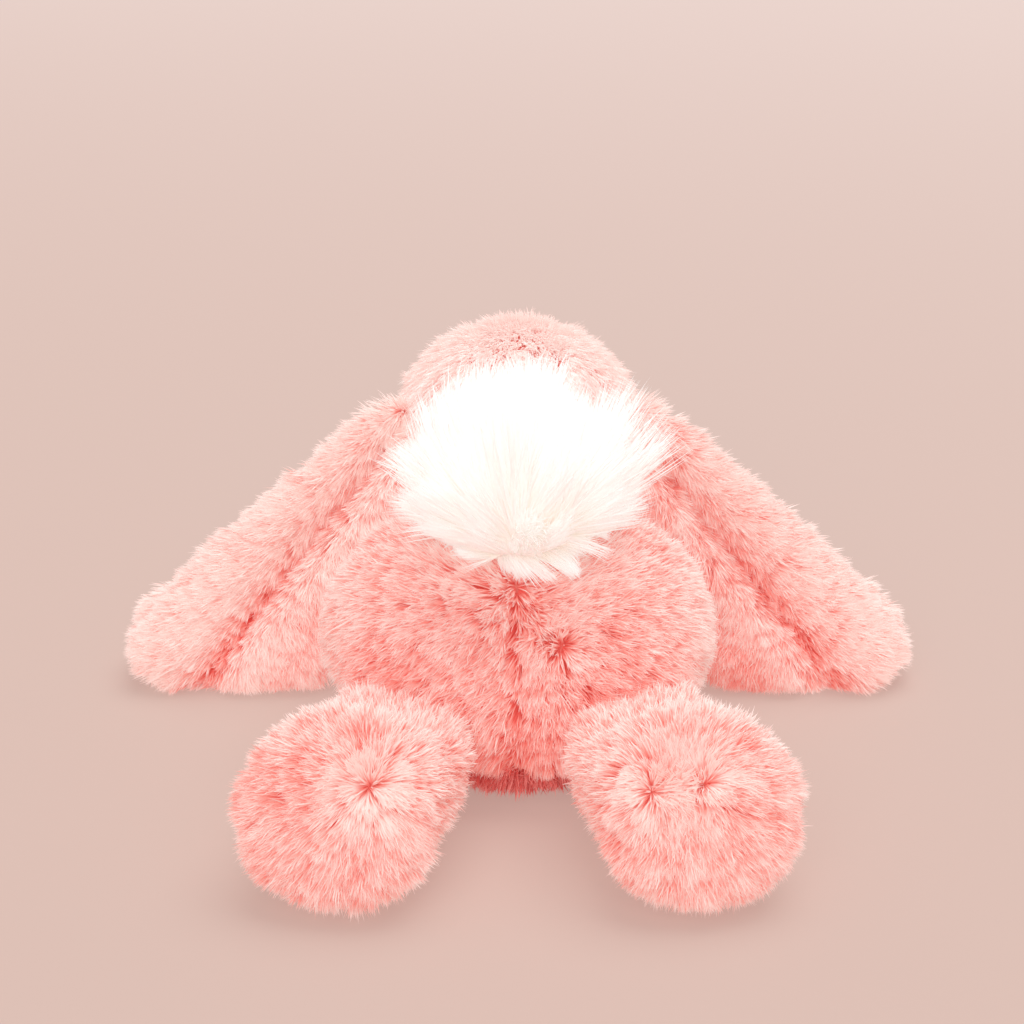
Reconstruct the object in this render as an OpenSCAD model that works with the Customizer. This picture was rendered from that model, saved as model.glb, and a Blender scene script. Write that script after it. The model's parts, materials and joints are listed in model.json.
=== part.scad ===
// Plush bunny lying on its belly, legs stretched out behind, lop ears draped to the floor.
// Z is up, the soles face -Y and the nose faces +Y. The origin is on the floor, at the middle.

/* [Body] */
// Width of the rump
rump_w = 196; // [180:1:204]
// Height and length of the rump, a body of revolution about X
rump_d = 130; // [124:1:134]
// Width of the chest
chest_w = 124; // [116:1:128]
// Height and length of the chest
chest_d = 100; // [94:1:104]
// Thickness of the pile fabric, backing and pile together
pile = 8; // [6:0.5:9]
// Height of the seam between the back panels and the belly panel
belly_seam_z = 24; // [20:1:28]

/* [Head] */
// Diameter of the head
head_d = 136; // [132:1:137]
// Height of the head's centre above the floor
head_z = 106; // [104:1:110]
// Diameter of the muzzle
muzzle_d = 76; // [68:1:80]
// Width of the centre strip over the top of the head
gusset_w = 38; // [30:1:46]
// Diameter of an eye
eye_d = 14; // [10:1:16]

/* [Ears] */
// Half of the distance between the tips of the ears
ear_reach = 196; // [188:1:202]
// Lean of the ears away from the feet
ear_lean = 25; // [22:1:28]
// Thickness of one layer of an ear
ear_layer = 9; // [6:0.5:10]

/* [Limbs] */
// Diameter of a foot
foot_d = 96; // [90:1:98]
// Length of a leg, from the hip seam to the sole
leg_len = 95; // [90:1:96]
// Angle by which the legs point outwards
leg_splay = 10; // [6:1:12]
// Diameter of a paw
paw_d = 54; // [48:1:56]
// Length of an arm, from the shoulder seam
arm_len = 84; // [76:1:90]
// Angle by which the arms point outwards
arm_splay = 42; // [40:1:46]

/* [Tail] */
// Diameter of the tail's core, without its loose long hair
tail_d = 76; // [66:1:80]

/* [Hidden] */
// Places of the main masses, and of the pivots of the sewn joints
rump_at = [0, -31.5, 60];
chest_at = [0, 40.5, 49];
head_at = [0, 103.5, head_z];
muzzle_at = head_at + [0, 40, -22];
hip_at = [-52, -83.8, foot_d / 2];
shoulder_at = [-50, 74.5, paw_d / 2];
ear_foot_y = 23.5;
ear_pivot = [-62, ear_foot_y + 118 * tan(ear_lean), 118];
tail_at = [0, -51.5, 120];
tail_tilt = 18;
tail_rise = 23;

// Gaps: between bodies that move on each other, and between pieces of one body
move_gap = 0.6;
lay_gap = 0.15;

// Balls at the roots of the sewn joints, and the hollows that they turn in
hip_ball = 28;
hip_hollow = 37.5;
arm_ball = 18;
arm_hollow = 24;
ear_ball = 12;
tail_ball = 12;
tail_hollow = 15;
thread_r = 1;
sole_t = 9.4;

// The eyes look forwards and a little to the sides, above the muzzle
eye_turn = 38;
eye_rise = 14;
eye_stem_r = 2;
eye_stem_len = 14;
eye_rim_t = 2;
eye_proud = 1;
washer_r = 6.5;
washer_t = 2;

pink = "lightcoral";
floor_size = 600;

$fn = 64;

// Shared shapes ------------------------------------------------------------

// An egg that is round about X: w wide along X and d across
module egg(w, d) {
    rotate([0, 90, 0])
        rotate_extrude()
            polygon([for (a = [-90:9:90]) [d / 2 * cos(a), w / 2 * sin(a)]]);
}

// A ring of thread about Z
module thread_ring(r, grow = 0) {
    rotate_extrude()
        translate([r, 0])
            circle(r = thread_r + grow, $fn = 24);
}

// Keeps what lies above the floor
module above_floor() {
    intersection() {
        children();
        translate([-floor_size / 2, -floor_size / 2, 0])
            cube([floor_size, floor_size, floor_size]);
    }
}

// A slab of space between two values of x
module between_x(x0, x1) {
    translate([x0, -floor_size / 2, -floor_size / 4])
        cube([x1 - x0, floor_size, floor_size]);
}

module on_the_right() {
    mirror([1, 0, 0]) children();
}

// Torso --------------------------------------------------------------------

// The torso's outer form, drawn in by a distance
module torso_form(inset) {
    translate(rump_at) egg(rump_w - 2 * inset, rump_d - 2 * inset);
    translate(chest_at) egg(chest_w - 2 * inset, chest_d - 2 * inset);
}

// Places a limb that points along +Z at its root, on the left side
module at_hip() {
    translate(hip_at) rotate([90, 0, -leg_splay]) children();
}

module at_shoulder() {
    translate(shoulder_at) rotate([-90, 0, arm_splay]) children();
}

module at_tail() {
    translate(tail_at) rotate([tail_tilt, 0, 0]) children();
}

module torso_hollows() {
    translate(head_at) sphere(d = head_d + 2 * move_gap, $fn = 96);
    for (side = [0, 1]) mirror([side, 0, 0]) {
        translate(hip_at) sphere(r = hip_hollow);
        translate(shoulder_at) sphere(r = arm_hollow);
    }
    translate(tail_at) sphere(r = tail_hollow);
    neck_ring(lay_gap);
}

// The neck thread lies in the torso's seat for the head, on the line between their centres
neck_turn = 30;

module neck_ring(grow) {
    to_chest = chest_at - head_at;
    seat_r = head_d / 2 + move_gap + thread_r + 2 * lay_gap;
    turn = neck_turn;
    translate(head_at)
        rotate([180 - atan2(-to_chest[1], -to_chest[2]), 0, 0])
            translate([0, 0, seat_r * cos(turn)])
                thread_ring(seat_r * sin(turn), grow);
}

module torso_shell() {
    above_floor()
        difference() {
            torso_form(0);
            difference() {
                torso_form(pile);
                translate([-floor_size / 2, -floor_size / 2, -floor_size + pile / 2])
                    cube(floor_size);
            }
            torso_hollows();
        }
}

// The back panel of one side, on the left
module rump_side_panel() {
    intersection() {
        torso_shell();
        translate([-floor_size - lay_gap, -floor_size / 2, belly_seam_z + lay_gap])
            cube(floor_size);
    }
}

module rump_left_panel() {
    color(pink) rump_side_panel();
}

module rump_right_panel() {
    color(pink) on_the_right() rump_side_panel();
}

module belly_panel() {
    color("salmon")
        intersection() {
            torso_shell();
            translate([-floor_size / 2, -floor_size / 2, 0])
                cube([floor_size, floor_size, belly_seam_z - lay_gap]);
        }
}

// The bag of pellets that weighs the seat down
pellet_at = [0, -8, 30];
pellet_w = 76;
pellet_d = 36;

module pellet_form(grow) {
    translate(pellet_at) egg(pellet_w + 2 * grow, pellet_d + 2 * grow);
}

module torso_filling() {
    color("white")
        difference() {
            intersection() {
                torso_form(pile + lay_gap);
                translate([-floor_size / 2, -floor_size / 2, pile / 2 + lay_gap])
                    cube(floor_size);
            }
            torso_hollows();
            pellet_form(lay_gap);
        }
}

module pellet_bag() {
    color("ivory") pellet_form(0);
}

module neck_seam_thread() {
    color("indianred") neck_ring(0);
}

// Head ---------------------------------------------------------------------

module head_form(inset) {
    translate(head_at) egg(head_d - 2 * inset, head_d - 2 * inset);
    translate(muzzle_at) egg(muzzle_d - 2 * inset, muzzle_d - 2 * inset);
}

// Places a thing on the left side of the face, +Z outwards, at the skin
module at_eye() {
    translate(head_at)
        rotate([0, 0, eye_turn])
            rotate([eye_rise, 0, 0])
                rotate([-90, 0, 0])
                    translate([0, 0, head_d / 2]) children();
}

module eye_form(grow) {
    at_eye() {
        translate([0, 0, eye_proud - grow / 2]) cylinder(h = eye_rim_t + grow, d = eye_d + 2 * grow);
        translate([0, 0, -eye_stem_len]) cylinder(h = eye_stem_len + eye_proud, r = eye_stem_r + grow);
    }
}

module washer_form(grow) {
    at_eye()
        translate([0, 0, -pile - washer_t - eye_proud - grow])
            cylinder(h = washer_t + 2 * grow, r = washer_r + grow);
}

module head_hollows() {
    for (side = [0, 1]) mirror([side, 0, 0]) {
        translate(ear_pivot) sphere(r = ear_ball + move_gap);
        eye_form(lay_gap);
        washer_form(lay_gap);
    }
}

module head_shell() {
    difference() {
        head_form(0);
        head_form(pile);
        head_hollows();
    }
}

module head_side_panel() {
    intersection() {
        head_shell();
        between_x(-floor_size / 2, -gusset_w / 2 - lay_gap);
    }
}

module head_left_panel() {
    color(pink) head_side_panel();
}

module head_right_panel() {
    color(pink) on_the_right() head_side_panel();
}

module head_gusset() {
    color("lightpink")
        intersection() {
            head_shell();
            between_x(-gusset_w / 2 + lay_gap, gusset_w / 2 - lay_gap);
        }
}

module head_filling() {
    color("white")
        difference() {
            head_form(pile + lay_gap);
            head_hollows();
        }
}

module eye() {
    difference() {
        union() {
            eye_form(0);
            at_eye()
                translate([0, 0, eye_proud + eye_rim_t])
                    intersection() {
                        translate([0, 0, -eye_d / 4]) sphere(d = eye_d * 1.12);
                        cylinder(h = eye_d, d = eye_d);
                    }
        }
        difference() {
            translate(head_at) sphere(r = head_d / 2 + lay_gap, $fn = 96);
            at_eye()
                translate([0, 0, -eye_stem_len - 1]) cylinder(h = eye_stem_len + 2, r = eye_stem_r);
        }
    }
}

module left_eye() {
    color("black") eye();
}

module right_eye() {
    color("black") on_the_right() eye();
}

module eye_washer() {
    difference() {
        washer_form(0);
        at_eye()
            translate([0, 0, -floor_size / 2])
                cylinder(h = floor_size, r = eye_stem_r + lay_gap);
    }
}

module left_eye_washer() {
    color("gainsboro") eye_washer();
}

module right_eye_washer() {
    color("gainsboro") on_the_right() eye_washer();
}

// The nose is a satin-stitched triangle with round corners, on the muzzle's front
nose_rise = 20;
nose_half_w = 8;
mouth_z = -16;
mouth_r = 6;
stitch_w = 1.8;

module nose_outline() {
    hull()
        for (corner = [[-nose_half_w, 4], [nose_half_w, 4], [0, -4]])
            translate(corner) circle(r = 3, $fn = 32);
}

// A thin layer that follows the muzzle's skin
module on_muzzle(t) {
    intersection() {
        difference() {
            translate(muzzle_at) sphere(r = muzzle_d / 2 + t);
            translate(muzzle_at) sphere(r = muzzle_d / 2 + lay_gap);
        }
        translate(muzzle_at) rotate([90 + nose_rise, 0, 180]) children();
    }
}

module nose_stitching() {
    color("rosybrown")
        on_muzzle(2.2)
            linear_extrude(height = muzzle_d) nose_outline();
}

module mouth_stitching() {
    color("rosybrown")
        on_muzzle(1.2)
            linear_extrude(height = muzzle_d) {
                translate([-stitch_w / 2, mouth_z]) square([stitch_w, 8.6]);
                for (side = [-1, 1])
                    translate([side * mouth_r, mouth_z])
                        difference() {
                            circle(r = mouth_r + stitch_w / 2);
                            circle(r = mouth_r - stitch_w / 2);
                            translate([-2 * mouth_r, 0]) square(4 * mouth_r);
                        }
            }
}

// Ears ---------------------------------------------------------------------

// The ear's outline in its own plane, as x and height along the plane
module ear_outline() {
    steep = 1 / cos(ear_lean);
    tip_r = 33;
    discs = [
        [ear_pivot[0], ear_pivot[2] * steep, 22],
        [-108, 66 * steep, 34],
        [-ear_reach + tip_r, 30 * steep, tip_r],
        [-112, 22 * steep, 24]
    ];
    hull()
        for (disc = discs)
            translate([disc[0], disc[1]]) circle(r = disc[2], $fn = 48);
}

// One layer of the left ear, from near to far behind the ear's middle plane
module ear_layer_form(near, far) {
    above_floor()
        difference() {
            translate([0, ear_foot_y, 0])
                rotate([-ear_lean, 0, 0])
                    translate([0, far, 0])
                        rotate([90, 0, 0])
                            linear_extrude(height = far - near) ear_outline();
            for (lift = [0, 30, 60, 90]) about_ear_pivot(-lift)
                translate(head_at) sphere(r = head_d / 2 + move_gap, $fn = 96);
            ear_thread_form(lay_gap);
        }
}

// Turns a thing about the left ear's pivot, in the ear's own plane
module about_ear_pivot(lift) {
    translate(ear_pivot)
        rotate([-ear_lean, 0, 0])
            rotate([0, lift, 0])
                rotate([ear_lean, 0, 0])
                    translate(-ear_pivot) children();
}

// The thread goes round the ear's root, square to the ear's length
ear_droop = 42;
ear_thread_out = 10;
ear_thread_ring = 7;

module ear_thread_form(grow) {
    translate(ear_pivot)
        rotate([-ear_lean, 0, 0])
            rotate([0, -90 - ear_droop, 0])
                translate([0, 0, ear_thread_out]) thread_ring(ear_thread_ring, grow);
}

module ear_root() {
    difference() {
        translate(ear_pivot) sphere(r = ear_ball);
        translate([0, ear_foot_y, 0])
            rotate([-ear_lean, 0, 0])
                translate([-floor_size / 2, -lay_gap, -floor_size / 4])
                    cube([floor_size, floor_size, floor_size]);
        ear_thread_form(lay_gap);
    }
}

module ear_back() {
    ear_layer_form(-ear_layer, -lay_gap);
    ear_root();
}

module ear_lining() {
    difference() {
        ear_layer_form(0, ear_layer);
        translate(ear_pivot) sphere(r = ear_ball + lay_gap);
    }
}

module left_ear_back() {
    color(pink) ear_back();
}

module right_ear_back() {
    color(pink) on_the_right() ear_back();
}

module left_ear_lining() {
    color("lightpink") ear_lining();
}

module right_ear_lining() {
    color("lightpink") on_the_right() ear_lining();
}

module left_ear_seam_thread() {
    color("indianred") ear_thread_form(0);
}

module right_ear_seam_thread() {
    color("indianred") on_the_right() ear_thread_form(0);
}

// Arms ---------------------------------------------------------------------

// Outline of an arm along its length, from the ball at the shoulder to the paw
function arm_profile(inset) = concat(
    [for (a = [-90:15:0]) [(arm_ball - inset) * cos(a), (arm_ball - inset) * sin(a)]],
    [[20 - inset, 20], [24 - inset, 38]],
    [for (a = [-10:12.5:90]) [
        (paw_d / 2 - inset) * cos(a),
        arm_len - paw_d / 2 + (paw_d / 2 - inset) * sin(a)
    ]]
);
arm_groove_z = 14;
arm_thread_ring = 19;

module limb(profile) {
    rotate_extrude() polygon(concat([[0, profile[0][1]]], profile, [[0, profile[len(profile) - 1][1]]]));
}

module arm_thread_form(grow) {
    at_shoulder() translate([0, 0, arm_groove_z]) thread_ring(arm_thread_ring, grow);
}

module arm_sleeve() {
    difference() {
        at_shoulder() limb(arm_profile(0));
        at_shoulder() limb(arm_profile(pile));
        arm_thread_form(lay_gap);
    }
}

module arm_filling() {
    at_shoulder() limb(arm_profile(pile + lay_gap));
}

module left_arm_sleeve() {
    color(pink) arm_sleeve();
}

module right_arm_sleeve() {
    color(pink) on_the_right() arm_sleeve();
}

module left_arm_filling() {
    color("white") arm_filling();
}

module right_arm_filling() {
    color("white") on_the_right() arm_filling();
}

module left_arm_seam_thread() {
    color("indianred") arm_thread_form(0);
}

module right_arm_seam_thread() {
    color("indianred") on_the_right() arm_thread_form(0);
}

// Legs ---------------------------------------------------------------------

// Outline of a leg along its length, from the ball at the hip to the sole's rim
rim_r = 20;
function leg_profile(inset) = concat(
    [for (a = [-90:15:0]) [(hip_ball - inset) * cos(a), (hip_ball - inset) * sin(a)]],
    [[30 - inset, 22], [37 - inset, 36], [foot_d / 2 - inset, 58]],
    [for (a = [0:15:60]) [
        foot_d / 2 - rim_r + (rim_r - inset) * cos(a),
        leg_len - rim_r + (rim_r - inset) * sin(a)
    ]]
);
leg_groove_z = 15;
sole_r = foot_d / 2 - rim_r + rim_r * cos(60);
sole_ledge = 5;
leg_thread_ring = 29.5;

// The sole closes the foot: a shallow dome of pile fabric
module sole_form(grow) {
    translate([0, 0, leg_len - sole_t - grow])
        cylinder(h = sole_t + 2 * grow, r = sole_r - 1 + grow);
}

module leg_thread_form(grow) {
    at_hip() translate([0, 0, leg_groove_z]) thread_ring(leg_thread_ring, grow);
}

module leg_sleeve() {
    difference() {
        at_hip() limb(leg_profile(0));
        at_hip() limb(leg_profile(pile));
        at_hip() translate([0, 0, leg_len / 2]) cylinder(h = leg_len, r = sole_r - sole_ledge);
        at_hip() sole_form(lay_gap);
        leg_thread_form(lay_gap);
    }
}

module foot_sole() {
    at_hip() sole_form(0);
}

module leg_filling() {
    difference() {
        at_hip() limb(leg_profile(pile + lay_gap));
        at_hip() sole_form(lay_gap);
    }
}

module left_leg_sleeve() {
    color(pink) leg_sleeve();
}

module right_leg_sleeve() {
    color(pink) on_the_right() leg_sleeve();
}

module left_foot_sole() {
    color("salmon") foot_sole();
}

module right_foot_sole() {
    color("salmon") on_the_right() foot_sole();
}

module left_leg_filling() {
    color("white") leg_filling();
}

module right_leg_filling() {
    color("white") on_the_right() leg_filling();
}

module left_leg_seam_thread() {
    color("indianred") leg_thread_form(0);
}

module right_leg_seam_thread() {
    color("indianred") on_the_right() leg_thread_form(0);
}

// Tail ---------------------------------------------------------------------

// Outline of the tail about its own axis: a ball in the rump, a stalk and the round core
tail_base = 6;
tail_thread_ring = 20;
tail_core_r = tail_d / 2;
tail_low = asin((tail_base - tail_rise) / tail_core_r);

function tail_profile(inset) = concat(
    [for (a = [-90:15:45]) [(tail_ball - inset) * cos(a), (tail_ball - inset) * sin(a)]],
    [[(tail_ball - inset) * cos(45), tail_base + inset]],
    [for (i = [0:12]) let (a = tail_low + (90 - tail_low) * i / 12) [
        (tail_core_r - inset) * cos(a),
        max(tail_base + inset, tail_rise + (tail_core_r - inset) * sin(a))
    ]]
);

module tail_cover() {
    color("white")
        difference() {
            at_tail() limb(tail_profile(0));
            at_tail() limb(tail_profile(pile / 2));
            at_tail() translate([0, 0, tail_base]) thread_ring(tail_thread_ring, lay_gap);
        }
}

module tail_filling() {
    color("ivory") at_tail() limb(tail_profile(pile / 2 + lay_gap));
}

module tail_seam_thread() {
    color("gainsboro") at_tail() translate([0, 0, tail_base]) thread_ring(tail_thread_ring);
}

rump_left_panel();
rump_right_panel();
belly_panel();
torso_filling();
pellet_bag();
neck_seam_thread();
head_left_panel();
head_right_panel();
head_gusset();
head_filling();
left_eye();
right_eye();
left_eye_washer();
right_eye_washer();
nose_stitching();
mouth_stitching();
left_ear_back();
left_ear_lining();
left_ear_seam_thread();
right_ear_back();
right_ear_lining();
right_ear_seam_thread();
left_arm_sleeve();
left_arm_filling();
left_arm_seam_thread();
right_arm_sleeve();
right_arm_filling();
right_arm_seam_thread();
left_leg_sleeve();
left_foot_sole();
left_leg_filling();
left_leg_seam_thread();
right_leg_sleeve();
right_foot_sole();
right_leg_filling();
right_leg_seam_thread();
tail_cover();
tail_filling();
tail_seam_thread();
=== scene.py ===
# %% [markdown]
# # A long-pile plush bunny, lying on its belly
#
# The toy is sewn from pile fabric: a woven backing with long soft hair. Under the hair it is a set of
# filled bags, one for the torso, one for the head, one for each limb. This lesson makes it in the same
# order. First each bag becomes a smooth closed skin, then the skin is cut along its seams into the
# panels that a plush maker would sew, and then the hair is planted on each panel.
#
# The frame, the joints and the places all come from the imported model, in metres.

# %% The frame
import json
import math

import bmesh
import bpy
import numpy as np
from mathutils import Matrix, Vector


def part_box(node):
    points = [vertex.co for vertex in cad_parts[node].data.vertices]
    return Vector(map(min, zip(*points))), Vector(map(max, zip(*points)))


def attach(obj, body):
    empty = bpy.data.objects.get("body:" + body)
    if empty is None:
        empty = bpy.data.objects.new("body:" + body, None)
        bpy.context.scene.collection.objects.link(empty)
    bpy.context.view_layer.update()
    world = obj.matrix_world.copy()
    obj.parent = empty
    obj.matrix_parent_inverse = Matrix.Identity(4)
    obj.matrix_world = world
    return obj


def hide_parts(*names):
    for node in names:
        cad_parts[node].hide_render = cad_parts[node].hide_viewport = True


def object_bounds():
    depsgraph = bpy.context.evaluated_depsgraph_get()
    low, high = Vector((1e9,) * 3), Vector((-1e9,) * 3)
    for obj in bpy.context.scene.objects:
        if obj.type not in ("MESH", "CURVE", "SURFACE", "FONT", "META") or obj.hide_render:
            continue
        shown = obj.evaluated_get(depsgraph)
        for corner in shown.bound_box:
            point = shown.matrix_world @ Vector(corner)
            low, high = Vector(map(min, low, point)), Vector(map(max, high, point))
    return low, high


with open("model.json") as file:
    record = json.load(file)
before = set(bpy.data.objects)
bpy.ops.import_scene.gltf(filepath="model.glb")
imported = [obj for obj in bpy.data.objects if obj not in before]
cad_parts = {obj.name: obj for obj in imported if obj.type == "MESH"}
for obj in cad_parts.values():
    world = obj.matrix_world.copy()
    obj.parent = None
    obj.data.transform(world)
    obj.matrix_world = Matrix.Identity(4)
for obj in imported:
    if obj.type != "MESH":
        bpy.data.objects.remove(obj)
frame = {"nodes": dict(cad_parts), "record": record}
cad_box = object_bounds()
print("box of the packed model:", cad_box)


def middle(node):
    low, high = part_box(node)
    return (Vector(low) + Vector(high)) / 2


def joint_place(name):
    return next(Vector(j["pos_m"]) for j in frame["record"]["behaviour"]["joints"] if j["name"] == name)


head_at = joint_place("head_nod")
tail_at = joint_place("tail_wag")
hip_at = joint_place("left_leg_lift")
shoulder_at = joint_place("left_arm_lift")
ear_at = joint_place("left_ear_lift")

# %% [markdown]
# ## Camera, floor and light
#
# The toy is seen from behind and a little above, with the soles nearest to the camera. The light is a
# bright overcast: one wide soft sun from behind the camera, a stronger one from above, and a pale world.
# Soft light lets the colour painted on the hair do the work: pale at the tips as painted light, deep at
# the roots as painted shade.

# %% Camera
CAMERA_ASIDE, CAMERA_BACK, CAMERA_HEIGHT, CAMERA_PITCH = -0.003, 0.728, 0.476, 22
LENS = 72.2
soles_y = cad_box[0][1]
camera_data = bpy.data.cameras.new("camera")
camera_data.sensor_width = 36
camera_data.lens = LENS
camera = bpy.data.objects.new("camera", camera_data)
bpy.context.collection.objects.link(camera)
camera.location = (CAMERA_ASIDE, soles_y - CAMERA_BACK, CAMERA_HEIGHT)
camera.rotation_euler = (math.pi / 2 - math.radians(CAMERA_PITCH), 0, 0)
bpy.context.scene.camera = camera

# %% Floor and lights
# The paper's two colours are painted light: darker near the camera, paler far away.
PAPER_NEAR_DIM, PAPER_FAR_LIT = (0.735, 0.545, 0.48), (0.85, 0.69, 0.64)
PAPER_GLOW, PAPER_PAINT = 0.5, 0.42
FLOOR_HALF = 14.0


def plain_material(name, colour, roughness):
    material = bpy.data.materials.new(name)
    material.use_nodes = True
    shader = material.node_tree.nodes["Principled BSDF"]
    shader.inputs["Base Color"].default_value = (*colour, 1)
    shader.inputs["Roughness"].default_value = roughness
    return material


def glowing_paper(name, near, far, glow, paint):
    """Paper that is lit from its own side too, so that shadows on it stay faint. It is painted paler far
    away and towards the right, as painted light.
    """
    material = plain_material(name, near, 0.9)
    nodes, links = material.node_tree.nodes, material.node_tree.links
    shader = nodes["Principled BSDF"]
    where = nodes.new("ShaderNodeTexCoord")
    split = nodes.new("ShaderNodeSeparateXYZ")
    links.new(where.outputs["Object"], split.inputs[0])
    aside = nodes.new("ShaderNodeMath")
    aside.operation = "MULTIPLY_ADD"
    links.new(split.outputs["X"], aside.inputs[0])
    aside.inputs[1].default_value = 0.55
    links.new(split.outputs["Y"], aside.inputs[2])
    away = nodes.new("ShaderNodeMapRange")
    away.interpolation_type = "SMOOTHSTEP"
    links.new(aside.outputs[0], away.inputs["Value"])
    away.inputs["From Min"].default_value = -0.7
    away.inputs["From Max"].default_value = 3.4
    paper = nodes.new("ShaderNodeMix")
    paper.data_type = "RGBA"
    links.new(away.outputs["Result"], paper.inputs["Factor"])
    paper.inputs["A"].default_value = (*near, 1)
    paper.inputs["B"].default_value = (*far, 1)
    shade = nodes.new("ShaderNodeMix")
    shade.data_type = "RGBA"
    shade.inputs["Factor"].default_value = paint
    shade.inputs["A"].default_value = (0, 0, 0, 1)
    links.new(paper.outputs["Result"], shade.inputs["B"])
    links.new(shade.outputs["Result"], shader.inputs["Base Color"])
    links.new(paper.outputs["Result"], shader.inputs["Emission Color"])
    shader.inputs["Emission Strength"].default_value = glow
    shader.inputs["Specular IOR Level"].default_value = 0.1
    return material


def paper_floor():
    mesh = bpy.data.meshes.new("studio_floor")
    corners = [(x * FLOOR_HALF, y * FLOOR_HALF, 0) for x, y in ((-1, -1), (1, -1), (1, 1), (-1, 1))]
    mesh.from_pydata(corners, [], [(0, 1, 2, 3)])
    mesh.materials.append(glowing_paper("studio_paper", PAPER_NEAR_DIM, PAPER_FAR_LIT, PAPER_GLOW, PAPER_PAINT))
    studio = bpy.data.objects.new("studio_floor", mesh)
    bpy.context.collection.objects.link(studio)


def sky_lamp(name, aim, power, spread, colour=(1, 1, 1)):
    """A very wide, very far lamp, so that the light is the same all over the floor."""
    data = bpy.data.lights.new(name, "SUN")
    data.energy = power
    data.angle = math.radians(spread)
    data.color = colour
    lamp = bpy.data.objects.new(name, data)
    lamp.rotation_euler = Vector(aim).to_track_quat("-Z", "Y").to_euler()
    bpy.context.collection.objects.link(lamp)


paper_floor()
sky_lamp("sky_behind_camera", (0.15, 0.8, -0.6), 0.97, 50)
sky_lamp("sky_above", (-0.2, -0.15, -1), 1.50, 50)


def studio_air(light, seen):
    """Even light for the toy, and the paper's own colour where the camera looks past the floor."""
    world = bpy.data.worlds.new("studio_air")
    world.use_nodes = True
    nodes, links = world.node_tree.nodes, world.node_tree.links
    lit = nodes["Background"]
    lit.inputs["Color"].default_value = (*light, 1)
    lit.inputs["Strength"].default_value = 0.49
    wall = nodes.new("ShaderNodeBackground")
    wall.inputs["Color"].default_value = (*seen, 1)
    path = nodes.new("ShaderNodeLightPath")
    mix = nodes.new("ShaderNodeMixShader")
    links.new(path.outputs["Is Camera Ray"], mix.inputs["Fac"])
    links.new(lit.outputs["Background"], mix.inputs[1])
    links.new(wall.outputs["Background"], mix.inputs[2])
    links.new(mix.outputs["Shader"], nodes["World Output"].inputs["Surface"])
    bpy.context.scene.world = world


studio_air((1.0, 0.93, 0.91), (0.82, 0.66, 0.61))
bpy.context.scene.view_settings.view_transform = "Standard"

# %% [markdown]
# ## Skins
#
# A filled bag has no hard edges, so each skin starts as a few overlapping balls that a voxel remesh
# welds into one closed surface. A smoothing pass then rounds the welds like stretched fabric.

# %% Skins from welded balls


def new_piece(name, mesh):
    piece = bpy.data.objects.new(name, mesh)
    bpy.context.collection.objects.link(piece)
    return piece


def frozen(piece, name):
    """A plain mesh of the piece with its modifiers applied; the old piece goes."""
    depsgraph = bpy.context.evaluated_depsgraph_get()
    mesh = bpy.data.meshes.new_from_object(piece.evaluated_get(depsgraph))
    mesh.name = name
    bpy.data.objects.remove(piece)
    return new_piece(name, mesh)


def ball(bm, centre, radii, turn=Matrix.Identity(3)):
    place = Matrix.Translation(centre) @ turn.to_4x4() @ Matrix.Diagonal((*radii, 1))
    bmesh.ops.create_icosphere(bm, subdivisions=4, radius=1, matrix=place)


def welded(name, bm, voxel, smooth):
    mesh = bpy.data.meshes.new(name)
    bm.to_mesh(mesh)
    bm.free()
    piece = new_piece(name, mesh)
    remesh = piece.modifiers.new("weld", "REMESH")
    remesh.mode = "VOXEL"
    remesh.voxel_size = voxel
    soften = piece.modifiers.new("soften", "SMOOTH")
    soften.factor = 0.5
    soften.iterations = smooth
    piece = frozen(piece, name)
    piece.data.polygons.foreach_set("use_smooth", [True] * len(piece.data.polygons))
    return piece


def stuffed(name, balls, voxel=0.004, smooth=12):
    bm = bmesh.new()
    for centre, radii in balls:
        ball(bm, centre, radii)
    return welded(name, bm, voxel, smooth)


def points_of(mesh):
    co = np.empty(len(mesh.vertices) * 3, np.float32)
    mesh.vertices.foreach_get("co", co)
    return co.reshape(-1, 3).astype(float)


def put_points(mesh, co):
    mesh.vertices.foreach_set("co", co.astype(np.float32).ravel())
    mesh.update()


def normals_of(mesh):
    normals = np.empty(len(mesh.vertices) * 3, np.float32)
    mesh.vertices.foreach_get("normal", normals)
    return normals.reshape(-1, 3).astype(float)


def pull_seam(mesh, distance, depth=0.0022, width=0.005):
    """Draws the surface in along a seam, by how far each point is from it."""
    co, normals = points_of(mesh), normals_of(mesh)
    co -= normals * (depth * np.exp(-((distance(co) / width) ** 2)))[:, None]
    put_points(mesh, co)


def cut_out(piece, name, planes):
    """A copy of the part of a skin that lies on the inner side of each plane (point, normal out)."""
    bm = bmesh.new()
    bm.from_mesh(piece.data)
    for point, out in planes:
        everything = bm.verts[:] + bm.edges[:] + bm.faces[:]
        bmesh.ops.bisect_plane(bm, geom=everything, plane_co=point, plane_no=out, clear_outer=True)
    mesh = bpy.data.meshes.new(name)
    bm.to_mesh(mesh)
    bm.free()
    mesh.polygons.foreach_set("use_smooth", [True] * len(mesh.polygons))
    return new_piece(name, mesh)


# %% [markdown]
# ## Pile
#
# The hair is planted by one Geometry Nodes tree. It scatters roots over a panel, stands a bent blade on
# each root (three triangles, or seven for the tail), leans it along the panel's combing direction, and
# then draws neighbouring tips together into locks. The tips are what the eye reads as fur, so the
# drawing together grows from nothing at the root to its full amount at the tip.

# %% The blade


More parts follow.
